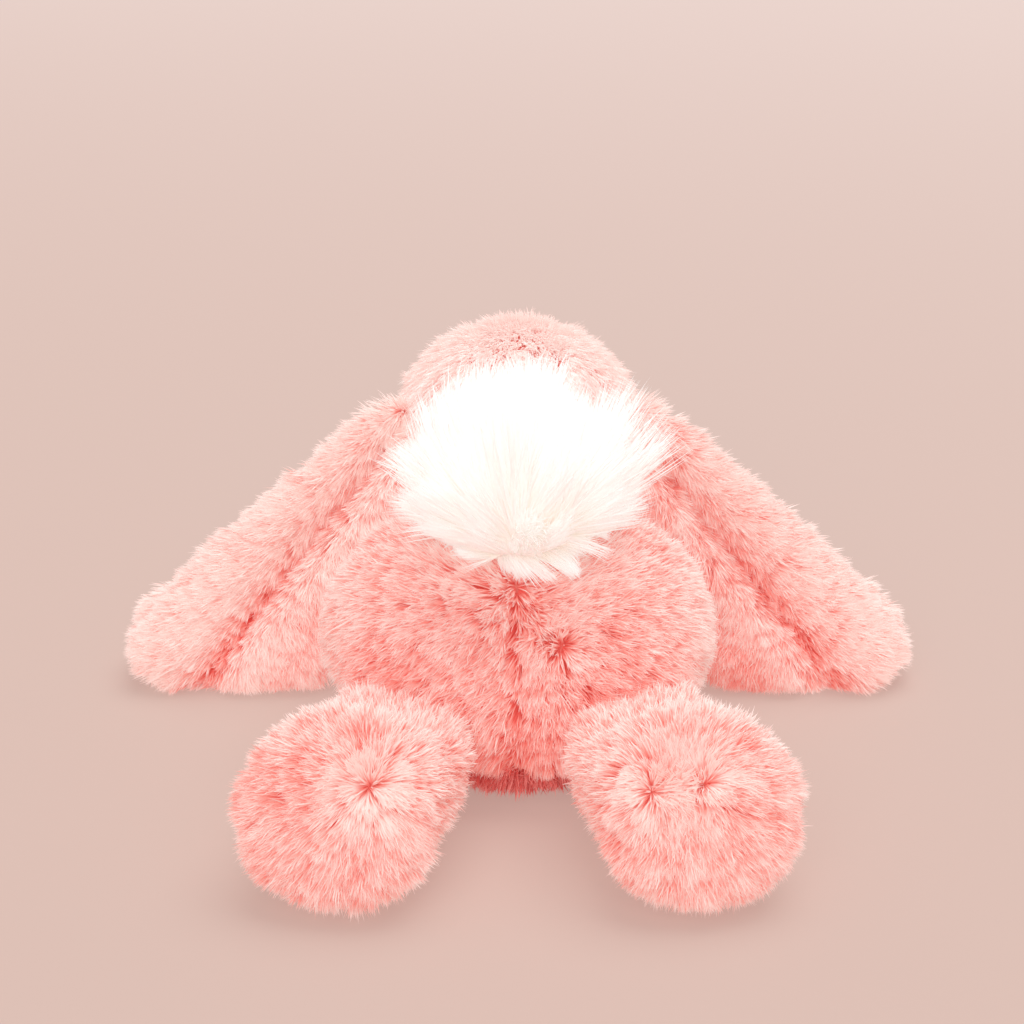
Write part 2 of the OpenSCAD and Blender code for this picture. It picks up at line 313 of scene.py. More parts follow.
def blade(name, steps, bend, taper, shoulder):
    """One hair: a thin strip, one unit tall, bent towards +X, that comes to a point above its shoulder."""
    rings = [shoulder * i / (steps - 1) for i in range(steps)]
    vertices, along = [], []
    for t in rings:
        half = 0.5 * (1 - taper * t)
        for side in (-1, 1):
            vertices.append((bend * t * t, side * half, t))
            along.append(t)
    vertices.append((bend, 0, 1))
    along.append(1.0)
    faces = [(2 * i, 2 * i + 1, 2 * i + 3, 2 * i + 2) for i in range(steps - 1)]
    faces.append((2 * steps - 2, 2 * steps - 1, 2 * steps))
    mesh = bpy.data.meshes.new(name)
    mesh.from_pydata(vertices, [], faces)
    attribute = mesh.attributes.new("along", "FLOAT", "POINT")
    attribute.data.foreach_set("value", along)
    mesh.polygons.foreach_set("use_smooth", [True] * len(mesh.polygons))
    return new_piece(name, mesh)


short_blade = blade("short_blade", 2, 0.35, taper=0.35, shoulder=0.68)
long_blade = blade("long_blade", 4, 0.18, taper=0.6, shoulder=0.75)

# %% The pile tree


class Tree:
    """A thin helper that adds and joins the nodes of one Geometry Nodes tree."""

    def __init__(self, name):
        self.group = bpy.data.node_groups.new(name, "GeometryNodeTree")
        self.sockets = {}
        self.add_input("Geometry", "NodeSocketGeometry")
        self.group.interface.new_socket(name="Geometry", in_out="OUTPUT", socket_type="NodeSocketGeometry")
        self.start = self.group.nodes.new("NodeGroupInput")
        self.end = self.group.nodes.new("NodeGroupOutput")

    def add_input(self, name, kind, value=None):
        socket = self.group.interface.new_socket(name=name, in_out="INPUT", socket_type=kind)
        if value is not None:
            socket.default_value = value
        self.sockets[name] = socket.identifier

    def link(self, source, target):
        if isinstance(source, (int, float, tuple)):
            target.default_value = source
        else:
            self.group.links.new(source, target)

    def node(self, kind, inputs=(), **settings):
        node = self.group.nodes.new(kind)
        for key, value in settings.items():
            setattr(node, key, value)
        for key, source in dict(inputs).items():
            self.link(source, node.inputs[key])
        return node

    def math(self, operation, a, b=0.0):
        return self.node("ShaderNodeMath", {0: a, 1: b}, operation=operation).outputs[0]

    def vector(self, operation, a, b=(0.0, 0.0, 0.0)):
        node = self.node("ShaderNodeVectorMath", operation=operation)
        self.link(a, node.inputs[0])
        if operation == "SCALE":
            self.link(b, node.inputs["Scale"])
        else:
            self.link(b, node.inputs[1])
        return node.outputs["Value" if operation == "DOT_PRODUCT" else "Vector"]

    def attribute(self, name, kind):
        node = self.node("GeometryNodeInputNamedAttribute", data_type=kind)
        node.inputs["Name"].default_value = name
        return node.outputs["Attribute"]

    def stored(self, geometry, name, kind, value, domain="POINT"):
        node = self.node("GeometryNodeStoreNamedAttribute", data_type=kind, domain=domain)
        self.link(geometry, node.inputs["Geometry"])
        node.inputs["Name"].default_value = name
        self.link(value, node.inputs["Value"])
        return node.outputs["Geometry"]

    def random(self, low, high, seed, vector=False):
        kind = "FLOAT_VECTOR" if vector else "FLOAT"
        node = self.node("FunctionNodeRandomValue", data_type=kind)
        ports = (0, 1) if vector else (2, 3)
        self.link(low, node.inputs[ports[0]])
        self.link(high, node.inputs[ports[1]])
        node.inputs["Seed"].default_value = seed
        return node.outputs[0 if vector else 1]


def pile_tree():
    tree = Tree("pile")
    tree.add_input("Density", "NodeSocketFloat", 100.0)
    tree.add_input("Length", "NodeSocketFloat", 0.0135)
    tree.add_input("Width", "NodeSocketFloat", 0.0008)
    tree.add_input("Lean", "NodeSocketFloat", 0.78)
    tree.add_input("Mess", "NodeSocketFloat", 0.24)
    tree.add_input("Lock Size", "NodeSocketFloat", 0.0044)
    tree.add_input("Lock Pull", "NodeSocketFloat", 0.54)
    tree.add_input("Lock Sway", "NodeSocketFloat", 0.0045)
    tree.add_input("Lock Uneven", "NodeSocketFloat", 0.14)
    tree.add_input("Wave", "NodeSocketFloat", 0.002)
    tree.add_input("Floor", "NodeSocketFloat", 0.0006)
    tree.add_input("Ceiling", "NodeSocketFloat", 1.0)
    tree.add_input("Blade", "NodeSocketObject")
    tree.add_input("Material", "NodeSocketMaterial")
    tree.add_input("Seed", "NodeSocketInt", 1)
    given = tree.start.outputs

    # Roots, thinned where the panel's "cover" is low
    scatter = tree.node("GeometryNodeDistributePointsOnFaces", distribute_method="RANDOM")
    tree.link(given["Geometry"], scatter.inputs["Mesh"])
    thinned = tree.math("MULTIPLY", given["Density"], tree.attribute("cover", "FLOAT"))
    tree.link(thinned, scatter.inputs["Density"])
    tree.link(given["Seed"], scatter.inputs["Seed"])
    roots = scatter.outputs["Points"]
    place = tree.node("GeometryNodeInputPosition").outputs[0]
    roots = tree.stored(roots, "root", "FLOAT_VECTOR", place)
    roots = tree.stored(roots, "out", "FLOAT_VECTOR", scatter.outputs["Normal"])
    cell = tree.node("ShaderNodeTexVoronoi", voronoi_dimensions="3D", feature="F1")
    tree.link(place, cell.inputs["Vector"])
    tree.link(tree.math("DIVIDE", 1.0, given["Lock Size"]), cell.inputs["Scale"])
    roots = tree.stored(roots, "lock_middle", "FLOAT_VECTOR", cell.outputs["Position"])
    roots = tree.stored(roots, "lock_chance", "FLOAT_VECTOR", cell.outputs["Color"])

    # The blade leans from the surface's normal towards the combing direction, with some mess
    out = tree.attribute("out", "FLOAT_VECTOR")
    mess = tree.random((-1.0, -1.0, -1.0), (1.0, 1.0, 1.0), 11, vector=True)
    mess = tree.vector("SCALE", mess, given["Mess"])
    comb = tree.vector("ADD", tree.attribute("comb", "FLOAT_VECTOR"), mess)
    lean = tree.math("MULTIPLY", given["Lean"], tree.random(0.8, 1.2, 12))
    lean = tree.math("MULTIPLY", lean, tree.attribute("lay", "FLOAT"))
    upright = tree.vector("SCALE", out, tree.math("COSINE", lean))
    along = tree.vector("SCALE", comb, tree.math("SINE", lean))
    growth = tree.vector("ADD", upright, along)
    turn = tree.node("FunctionNodeAxesToRotation", primary_axis="Z", secondary_axis="X")
    tree.link(growth, turn.inputs["Primary Axis"])
    tree.link(tree.vector("ADD", comb, tree.vector("SCALE", out, -0.6)), turn.inputs["Secondary Axis"])
    roll = tree.node("FunctionNodeAxisAngleToRotation")
    tree.link((0.0, 0.0, 1.0), roll.inputs["Axis"])
    tree.link(tree.random(-0.9, 0.9, 13), roll.inputs["Angle"])
    rolled = tree.node("FunctionNodeRotateRotation", rotation_space="LOCAL")
    tree.link(turn.outputs[0], rolled.inputs["Rotation"])
    tree.link(roll.outputs[0], rolled.inputs["Rotate By"])

    tall = tree.math("MULTIPLY", given["Length"], tree.attribute("tall", "FLOAT"))
    tall = tree.math("MULTIPLY", tall, tree.random(0.86, 1.05, 14))
    chance = tree.node("ShaderNodeSeparateXYZ", {0: tree.attribute("lock_chance", "FLOAT_VECTOR")})
    uneven = tree.math("MULTIPLY", tree.math("SUBTRACT", chance.outputs[1], 0.5), given["Lock Uneven"])
    tall = tree.math("MULTIPLY", tall, tree.math("ADD", uneven, 1.0))
    broad = tree.math("MULTIPLY", given["Width"], tree.random(0.7, 1.3, 15))
    scale = tree.node("ShaderNodeCombineXYZ", {0: tall, 1: broad, 2: tall}).outputs[0]

    shape = tree.node("GeometryNodeObjectInfo", transform_space="ORIGINAL")
    tree.link(given["Blade"], shape.inputs["Object"])
    plant = tree.node("GeometryNodeInstanceOnPoints")
    tree.link(roots, plant.inputs["Points"])
    tree.link(shape.outputs["Geometry"], plant.inputs["Instance"])
    tree.link(rolled.outputs[0], plant.inputs["Rotation"])
    tree.link(scale, plant.inputs["Scale"])
    hairs = tree.stored(plant.outputs[0], "tone", "FLOAT", tree.random(0.0, 1.0, 16), domain="INSTANCE")
    real = tree.node("GeometryNodeRealizeInstances", {"Geometry": hairs}).outputs[0]

    # Tips are drawn to the middle of their lock, and locks drift together in a slow wave
    root = tree.attribute("root", "FLOAT_VECTOR")
    out = tree.attribute("out", "FLOAT_VECTOR")
    height = tree.attribute("along", "FLOAT")
    grow = tree.math("POWER", height, 1.4)
    pull = tree.vector("SUBTRACT", tree.attribute("lock_middle", "FLOAT_VECTOR"), root)
    inward = tree.vector("SCALE", out, tree.vector("DOT_PRODUCT", pull, out))
    pull = tree.vector("SUBTRACT", pull, inward)
    pull = tree.vector("SCALE", pull, tree.math("MULTIPLY", given["Lock Pull"], grow))
    chance = tree.attribute("lock_chance", "FLOAT_VECTOR")
    sway = tree.vector("SUBTRACT", chance, (0.5, 0.5, 0.5))
    sway = tree.vector("SCALE", sway, tree.math("MULTIPLY", given["Lock Sway"], grow))
    pull = tree.vector("ADD", pull, sway)
    lock_tone = tree.node("ShaderNodeSeparateXYZ", {0: chance}).outputs[0]
    real = tree.stored(real, "lock", "FLOAT", lock_tone)
    drift = tree.node("ShaderNodeTexNoise", noise_dimensions="3D")
    tree.link(root, drift.inputs["Vector"])
    drift.inputs["Scale"].default_value = 55
    drift.inputs["Detail"].default_value = 1
    wave = tree.vector("SUBTRACT", drift.outputs["Color"], (0.5, 0.5, 0.5))
    swing = tree.math("MULTIPLY", given["Wave"], 2.0)
    wave = tree.vector("SCALE", wave, tree.math("MULTIPLY", swing, grow))
    move = tree.node("GeometryNodeSetPosition", {"Geometry": real})
    tree.link(tree.vector("ADD", pull, wave), move.inputs["Offset"])

    # Nothing goes below the floor that the toy lies on, or above the room the toy may take
    place = tree.node("GeometryNodeInputPosition").outputs[0]
    split = tree.node("ShaderNodeSeparateXYZ", {0: place})
    kept = tree.math("MAXIMUM", split.outputs[2], given["Floor"])
    kept = tree.math("MINIMUM", kept, given["Ceiling"])
    level = tree.node("ShaderNodeCombineXYZ", {0: split.outputs[0], 1: split.outputs[1], 2: kept})
    rest = tree.node("GeometryNodeSetPosition", {"Geometry": move.outputs[0]})
    tree.link(level.outputs[0], rest.inputs["Position"])

    paint = tree.node("GeometryNodeSetMaterial", {"Geometry": rest.outputs[0]})
    tree.link(given["Material"], paint.inputs["Material"])
    tree.link(paint.outputs[0], tree.end.inputs[0])
    return tree


pile = pile_tree()
print("pile tree:", len(pile.group.nodes), "nodes")

# %% [markdown]
# The combing direction, the cover and the length are painted on the panel before planting. A plush
# maker lays the panels so that the pile strokes away from the middle of the back and towards the feet.

# %% Planting


def write_field(mesh, name, kind, values):
    attribute = mesh.attributes.new(name, kind, "POINT")
    key = "vector" if kind == "FLOAT_VECTOR" else "value"
    attribute.data.foreach_set(key, np.ascontiguousarray(values, np.float32).ravel())


def unit(vectors):
    return vectors / np.maximum(np.linalg.norm(vectors, axis=1, keepdims=True), 1e-9)


def plant(panel, name, body, slot, material, comb, hairs, tall=None, lay=None, painted_light=None, cover=None,
          hair=short_blade, **sizes):
    """Plants about so many hairs on a panel and gives them back as a plain mesh of their own."""
    mesh = panel.data.copy()
    co, out = points_of(mesh), normals_of(mesh)
    stroke = comb(co, out)
    stroke = stroke - out * (stroke * out).sum(1)[:, None]
    write_field(mesh, "comb", "FLOAT_VECTOR", unit(stroke))
    write_field(mesh, "tall", "FLOAT", np.ones(len(co)) if tall is None else tall(co, out))
    write_field(mesh, "lay", "FLOAT", np.ones(len(co)) if lay is None else lay(co, out))
    write_field(mesh, "painted_light", "FLOAT", np.zeros(len(co)) if painted_light is None else painted_light(co, out))
    spread = np.ones(len(co)) if cover is None else cover(co, out)
    write_field(mesh, "cover", "FLOAT", spread)
    bed = new_piece(name + "_bed", mesh)
    area = sum(face.area for face in mesh.polygons) * float(spread.mean())
    modifier = bed.modifiers.new("pile", "NODES")
    modifier.node_group = pile.group
    values = {"Density": hairs / area, "Blade": hair, "Material": material, "Seed": len(name)}
    values.update({key.replace("_", " ").title(): value for key, value in sizes.items()})
    for key, value in values.items():
        modifier[pile.sockets[key]] = value
    coat = frozen(bed, name)
    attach(coat, body)
    print(name, "has", len(coat.data.polygons), "faces from about", hairs, "hairs")
    return coat


# %% [markdown]
# ## Colour of the pile
#
# Each hair is painted deep coral at its root, for the shade deep in the pile, and pale pink at its tip,
# for the light on the tips, and no two hairs match. One shader group mixes the three shades by height
# along the hair, moved by each panel's painted light and shade, shifts them by the hair's and the lock's
# own tone, and lets slow patches over the panel grow a little deeper, as fabric does where it was stroked
# the other way.

# %% Pile materials


def pile_shades():
    group = bpy.data.node_groups.new("pile_shades", "ShaderNodeTree")
    for name in ("Root", "Middle", "Tip"):
        group.interface.new_socket(name=name, in_out="INPUT", socket_type="NodeSocketColor")
    for name in ("Tip Start", "Variation"):
        group.interface.new_socket(name=name, in_out="INPUT", socket_type="NodeSocketFloat")
    group.interface.new_socket(name="Color", in_out="OUTPUT", socket_type="NodeSocketColor")
    nodes, links = group.nodes, group.links
    given = nodes.new("NodeGroupInput").outputs

    def read(name):
        node = nodes.new("ShaderNodeAttribute")
        node.attribute_name = name
        return node

    def mix(factor, a, b):
        node = nodes.new("ShaderNodeMix")
        node.data_type = "RGBA"
        links.new(factor, node.inputs["Factor"])
        links.new(a, node.inputs["A"])
        links.new(b, node.inputs["B"])
        return node.outputs["Result"]

    def ramp(value, low, high):
        node = nodes.new("ShaderNodeMapRange")
        node.interpolation_type = "SMOOTHSTEP"
        links.new(value, node.inputs["Value"])
        for key, source in (("From Min", low), ("From Max", high)):
            if isinstance(source, float):
                node.inputs[key].default_value = source
            else:
                links.new(source, node.inputs[key])
        return node.outputs["Result"]

    def math_node(operation, *values):
        node = nodes.new("ShaderNodeMath")
        node.operation = operation
        for socket, value in zip(node.inputs, values):
            if isinstance(value, float):
                socket.default_value = value
            else:
                links.new(value, socket)
        return node.outputs[0]

    patches = nodes.new("ShaderNodeTexNoise")
    links.new(read("root").outputs["Vector"], patches.inputs["Vector"])
    patches.inputs["Scale"].default_value = 38
    patches.inputs["Detail"].default_value = 2
    patch = math_node("SUBTRACT", patches.outputs["Fac"], 0.5)
    tone = math_node("SUBTRACT", read("tone").outputs["Fac"], 0.5)
    lock = math_node("SUBTRACT", read("lock").outputs["Fac"], 0.5)
    own = math_node("MULTIPLY_ADD", lock, 0.5, tone)
    both = math_node("ADD", patch, own)
    # Each panel's painted light and shade moves the hair up or down the shades.
    height = math_node("ADD", read("along").outputs["Fac"], read("painted_light").outputs["Fac"])
    swing = math_node("MULTIPLY_ADD", both, given["Variation"], height)
    low = mix(ramp(swing, 0.0, 0.45), given["Root"], given["Middle"])
    high = mix(ramp(swing, given["Tip Start"], 1.0), low, given["Tip"])
    end = nodes.new("NodeGroupOutput")
    links.new(high, end.inputs["Color"])
    return group


shades = pile_shades()


def pile_material(name, root, middle, tip, tip_start, variation, sheen, glow):
    """The glow stands for the light that passes from hair to hair inside the pile."""
    material = bpy.data.materials.new(name)
    material.use_nodes = True
    nodes, links = material.node_tree.nodes, material.node_tree.links
    shader = nodes["Principled BSDF"]
    group = nodes.new("ShaderNodeGroup")
    group.node_tree = shades
    for key, colour in (("Root", root), ("Middle", middle), ("Tip", tip)):
        group.inputs[key].default_value = (*colour, 1)
    group.inputs["Tip Start"].default_value = tip_start
    group.inputs["Variation"].default_value = variation
    links.new(group.outputs["Color"], shader.inputs["Base Color"])
    shader.inputs["Roughness"].default_value = 0.65
    shader.inputs["Specular IOR Level"].default_value = 0.25
    shader.inputs["Sheen Weight"].default_value = sheen
    shader.inputs["Sheen Roughness"].default_value = 0.5
    links.new(group.outputs["Color"], shader.inputs["Emission Color"])
    shader.inputs["Emission Strength"].default_value = glow
    return material


# Painted light and shade: the coral of the roots stands for shade deep in the pile, the blush of the tips
# for light on them.
SHADED_CORAL, ROSE, LIT_BLUSH = (0.80, 0.135, 0.11), (0.91, 0.375, 0.32), (0.945, 0.765, 0.72)
pink_pile = pile_material("pink_pile", SHADED_CORAL, ROSE, LIT_BLUSH, 0.34, 0.48, 0.15, 0.17)
# A lit copy of the pink pile: its paler tips are painted light on the head.
top_lit_pile = pile_material("top_lit_pile", SHADED_CORAL, ROSE, (0.96, 0.82, 0.785), 0.34, 0.48, 0.15, 0.17)
shaded_pile = pile_material(
    "shaded_pile", (0.54, 0.05, 0.045), (0.70, 0.13, 0.115), (0.84, 0.31, 0.28), 0.5, 0.4, 0.1, 0.15)
white_pile = pile_material(
    "white_pile", (0.95, 0.87, 0.81), (0.96, 0.93, 0.90), (0.98, 0.98, 0.97), 0.3, 0.35, 0.1, 0.17)


def backing_material(name, colour):
    """The knitted backing, seen only where the pile parts. It glows a little, as painted light."""
    material = plain_material(name, colour, 0.9)
    nodes, links = material.node_tree.nodes, material.node_tree.links
    shader = nodes["Principled BSDF"]
    where = nodes.new("ShaderNodeTexCoord")
    knit = nodes.new("ShaderNodeTexNoise")
    knit.inputs["Scale"].default_value = 900
    links.new(where.outputs["Object"], knit.inputs["Vector"])
    tint = nodes.new("ShaderNodeMix")
    tint.data_type = "RGBA"
    links.new(knit.outputs["Fac"], tint.inputs["Factor"])
    tint.inputs["A"].default_value = (*[c * 0.75 for c in colour], 1)
    tint.inputs["B"].default_value = (*colour, 1)
    links.new(tint.outputs["Result"], shader.inputs["Base Color"])
    bump = nodes.new("ShaderNodeBump")
    bump.inputs["Strength"].default_value = 0.5
    bump.inputs["Distance"].default_value = 0.0004
    # Painted light: a faint glow, so the gaps in the pile never go dark.
    links.new(tint.outputs["Result"], shader.inputs["Emission Color"])
    shader.inputs["Emission Strength"].default_value = 0.2
    links.new(knit.outputs["Fac"], bump.inputs["Height"])
    links.new(bump.outputs["Normal"], shader.inputs["Normal"])
    return material


pink_backing = backing_material("pink_backing", (0.82, 0.22, 0.18))
white_backing = backing_material("white_backing", (0.93, 0.88, 0.83))

# %% A panel's skin
BACKING_THICK = 0.0012


def sewn_panel(panel, body, slot, backing, *nodes):
    """Gives a cut panel its thickness and backing, and lets it stand for its node."""
    wall = panel.modifiers.new("thickness", "SOLIDIFY")
    wall.thickness = BACKING_THICK
    wall.offset = -1
    panel.data.materials.append(backing)
    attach(panel, body)
    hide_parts(*nodes)


fibre = plain_material("fibre_filling", (0.86, 0.85, 0.82), 0.95)


def stuffing(skin, name, body, node, inset=0.0035):
    """The fibre inside a skin: the same form, a little smaller."""
    mesh = skin.data.copy()
    put_points(mesh, points_of(mesh) - normals_of(mesh) * inset)
    filling = new_piece(name, mesh)
    thin = filling.modifiers.new("thin", "DECIMATE")
    thin.ratio = 0.25
    filling = frozen(filling, name)
    filling.data.materials.clear()
    filling.data.materials.append(fibre)
    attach(filling, body)
    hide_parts(node)


# %% [markdown]
# ## Torso
#
# The back is two mirrored panels with a seam down the middle; the belly panel closes them below and
# shows as a darker band between the feet, its pile painted deeper as shade. The seams pull the skin in, so
# the pile parts over them.

# %% Torso skin
WHORL_REACH = 0.02
BELLY_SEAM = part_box("belly_panel")[1][2]
BELLY_GAP = 0.0012
RUMP_HALF = -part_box("rump_left_panel")[0][0]
torso_skin = stuffed("torso_skin", [
    ((0, -0.0315, 0.060), (RUMP_HALF - 0.012, 0.0590, 0.0590)),
    ((0, -0.056, 0.042), (0.074, 0.046, 0.039)),
    ((0, 0.0405, 0.049), (0.0575, 0.0455, 0.0455)),
], smooth=20)
pull_seam(torso_skin.data, lambda co: np.where(co[:, 2] > BELLY_SEAM, co[:, 0], 1.0))
pull_seam(torso_skin.data, lambda co: co[:, 2] - BELLY_SEAM)
co = points_of(torso_skin.data)
co[:, 2] = np.maximum(co[:, 2], BELLY_GAP)
put_points(torso_skin.data, co)

stuffing(torso_skin, "torso_fibre", "torso", "torso_filling")
above_belly = ((0, 0, BELLY_SEAM), (0, 0, -1))
rump_left = cut_out(torso_skin, "rump_left_skin", [((0, 0, 0), (1, 0, 0)), above_belly])
rump_right = cut_out(torso_skin, "rump_right_skin", [((0, 0, 0), (-1, 0, 0)), above_belly])
belly = cut_out(torso_skin, "belly_skin", [((0, 0, BELLY_SEAM), (0, 0, 1))])
bpy.data.objects.remove(torso_skin)


def fans(whorls, fall=(0, 0, 0), flat=None):
    """Strokes away from several whorls at once; the nearest has the most say.

    Where flat is given, the strokes lie in the plane across it, and the fall is added afterwards.
    """
    fall = np.array(fall)

    def comb(co, out):
        stroke = np.zeros_like(co)
        for whorl in whorls:
            away = co - np.array(whorl)
            if flat is not None:
                away = away - np.outer(away @ flat, flat)
            far = np.linalg.norm(away, axis=1)
            stroke += unit(away) * (WHORL_REACH / (far + WHORL_REACH))[:, None]
        return unit(stroke) + fall

    return comb


def step_up(value):
    """From nothing to one, with a soft start and a soft end."""
    value = np.clip(value, 0, 1)
    return value * value * (3 - 2 * value)


def near_any(co, whorls, size):
    near = [np.exp(-((np.linalg.norm(co - np.array(w), axis=1) / size) ** 2)) for w in whorls]
    return np.max(near, axis=0)


tail_foot = tail_at + Vector((0, -0.022, -0.012))
rump_whorls = [tail_foot, (-0.026, -0.081, 0.102), (0.025, -0.090, 0.076), (0.021, -0.092, 0.040)]
rump_fan = fans(rump_whorls, (0, -0.1, -0.45))


def rump_comb(co, out):
    """The fan, turned away from the seam down the middle of the back."""
    aside = np.sign(co[:, 0]) * np.exp(-np.abs(co[:, 0]) / 0.012)
    return rump_fan(co, out) + np.outer(aside, (1.1, 0, 0))


def rump_tall(co, out):
    """Shorter by the seams and in the whorls, where the pile parts."""
    seam = np.exp(-((co[:, 0] / 0.005) ** 2)) * (co[:, 1] < 0)
    hem = np.exp(-(((co[:, 2] - BELLY_SEAM) / 0.006) ** 2))
    return 1 - 0.35 * np.maximum(seam, hem) - 0.15 * near_any(co, rump_whorls[1:], 0.014)


def rump_painted_light(co, out):
    """Painted light and shade on the rump: deeper by the seam, low down by the legs and a little on the
    right half; paler in the whorls, at the sides and high up.
    """
    seam = np.exp(-((co[:, 0] / 0.004) ** 2)) * (co[:, 1] < 0)
    low = np.clip((0.062 - co[:, 2]) / 0.05, 0, 1) * np.exp(-((co[:, 0] / 0.055) ** 2))
    low = np.maximum(low, 0.7 * near_any(co, [(-0.05, -0.085, 0.05), (0.05, -0.085, 0.05)], 0.024))
    deep = -0.12 * near_any(co, rump_whorls[1:], 0.009) + 0.10 * seam + 0.30 * low
    # Painted light: paler where the surface faces sideways, and higher up.
    rim = 0.18 * np.clip((np.abs(out[:, 0]) - 0.55) / 0.35, 0, 1)
    return rim + 0.06 * np.clip((co[:, 2] - 0.07) / 0.04, 0, 1) - 0.09 - 0.04 * (co[:, 0] > 0) - deep


for panel, name in ((rump_left, "rump_left_pile"), (rump_right, "rump_right_pile")):
    plant(panel, name, "torso", "pink_pile", pink_pile, rump_comb, 64000, tall=rump_tall,
          lay=lambda co, out: 1 - 0.75 * near_any(co, rump_whorls[1:], 0.020), painted_light=rump_painted_light)
# The belly's pile is painted deeper, as the shade under the toy.
plant(belly, "belly_pile", "torso", "pink_pile", shaded_pile,
      lambda co, out: unit(co * (1, 1, 0)) + np.array((0, 0, -0.5)), 18000, length=0.013)
sewn_panel(rump_left, "torso", "pink_pile", pink_backing, "rump_left_panel")
sewn_panel(rump_right, "torso", "pink_pile", pink_backing, "rump_right_panel")
sewn_panel(belly, "torso", "pink_pile", pink_backing, "belly_panel")

# %% [markdown]
# ## Legs and feet
#
# Each leg is a short sleeve that widens to the foot, closed by a round sole panel. The sole's pile fans
# out from one or two whorls near its middle, and the sleeve's pile runs on from it, back to the hip.

# %% Legs
SIDES = (("left", 1), ("right", -1))
leg_way = np.array([-math.sin(math.radians(10)), -math.cos(math.radians(10)), 0])
FOOT_R = 0.0358
SOLE_AT = 0.094
BARE_HIP = 0.014
FOOT_GAP = 0.0045


def quarter_turns(steps):
    return [math.pi / 2 * i / steps for i in range(steps + 1)]


def across_and_up(way):
    across = way.cross(Vector((0, 0, 1))).normalized()
    return across, across.cross(way)


def lathe(name, rows, start, way, rounds=72):
    """A closed form with a round section: rows are (distance along the way, radius)."""
    way = Vector(way).normalized()
    across, up = across_and_up(way)
    bm = bmesh.new()
    rings = []
    for along, radius in rows:
        ring = []
        for i in range(rounds):
            turn = 2 * math.pi * i / rounds
            spot = Vector(start) + way * along
            spot += (across * math.cos(turn) + up * math.sin(turn)) * max(radius, 1e-5)
            ring.append(bm.verts.new(spot))
        rings.append(ring)
    for near, far in zip(rings, rings[1:]):
        for i in range(rounds):
            j = (i + 1) % rounds
            bm.faces.new((near[i], near[j], far[j], far[i]))
    bmesh.ops.remove_doubles(bm, verts=bm.verts, dist=1e-4)
    bmesh.ops.recalc_face_normals(bm, faces=bm.faces)
    return welded(name, bm, 0.004, 4)


def leg_rows():
    root, rim = 0.024, 0.013
    rows = [(-root * math.cos(turn), root * math.sin(turn)) for turn in quarter_turns(8)]
    rows += [(0.018, 0.028), (0.032, 0.032), (0.045, 0.037), (0.058, FOOT_R)]
    for turn in quarter_turns(8):
        rows.append((SOLE_AT - rim + rim * math.sin(turn), FOOT_R - rim + rim * math.cos(turn)))
    for i in range(1, 6):
        rows.append((SOLE_AT + 0.004 * math.sin(math.pi / 2 * i / 5), (FOOT_R - rim) * (1 - i / 5)))
    return rows


def mirrored(vector, side):
    return Vector((vector[0] * side, vector[1], vector[2]))


def squashed_foot(mesh, hip, way):
    """The foot stands on the floor, broader low down; the leg above it is tucked in under the rump."""
    co = points_of(mesh)
    hip, way = np.array(hip), np.array(way)
    across = np.cross(way, (0, 0, 1))
    outwards = across * np.sign(across[0] * hip[0])
    share = np.clip((co - hip) @ way / SOLE_AT, 0, 1)
    low = np.clip((hip[2] - co[:, 2]) / FOOT_R, -1, 1)
    off = (co - hip) @ across
    co += np.outer(off * share * (np.sqrt(1 + np.clip(low, 0, 1) ** 2) - 1), across)
    co += np.outer(0.010 * share ** 2, outwards)
    co += np.outer(0.016 * np.clip(low, 0, 1) * share ** 3, way)
    high = np.clip(co[:, 2] - hip[2], 0, 1)
    co -= np.outer(0.28 * high * share ** 3, way)
    co[:, 2] -= high * (0.82 - 0.60 * step_up((share - 0.42) / 0.42))
    co[:, 2] = np.maximum(co[:, 2], FOOT_GAP)
    put_points(mesh, co)


SOLE_WHORLS = {"left": [(-0.062, 0.057)], "right": [(0.054, 0.055), (0.077, 0.058)]}

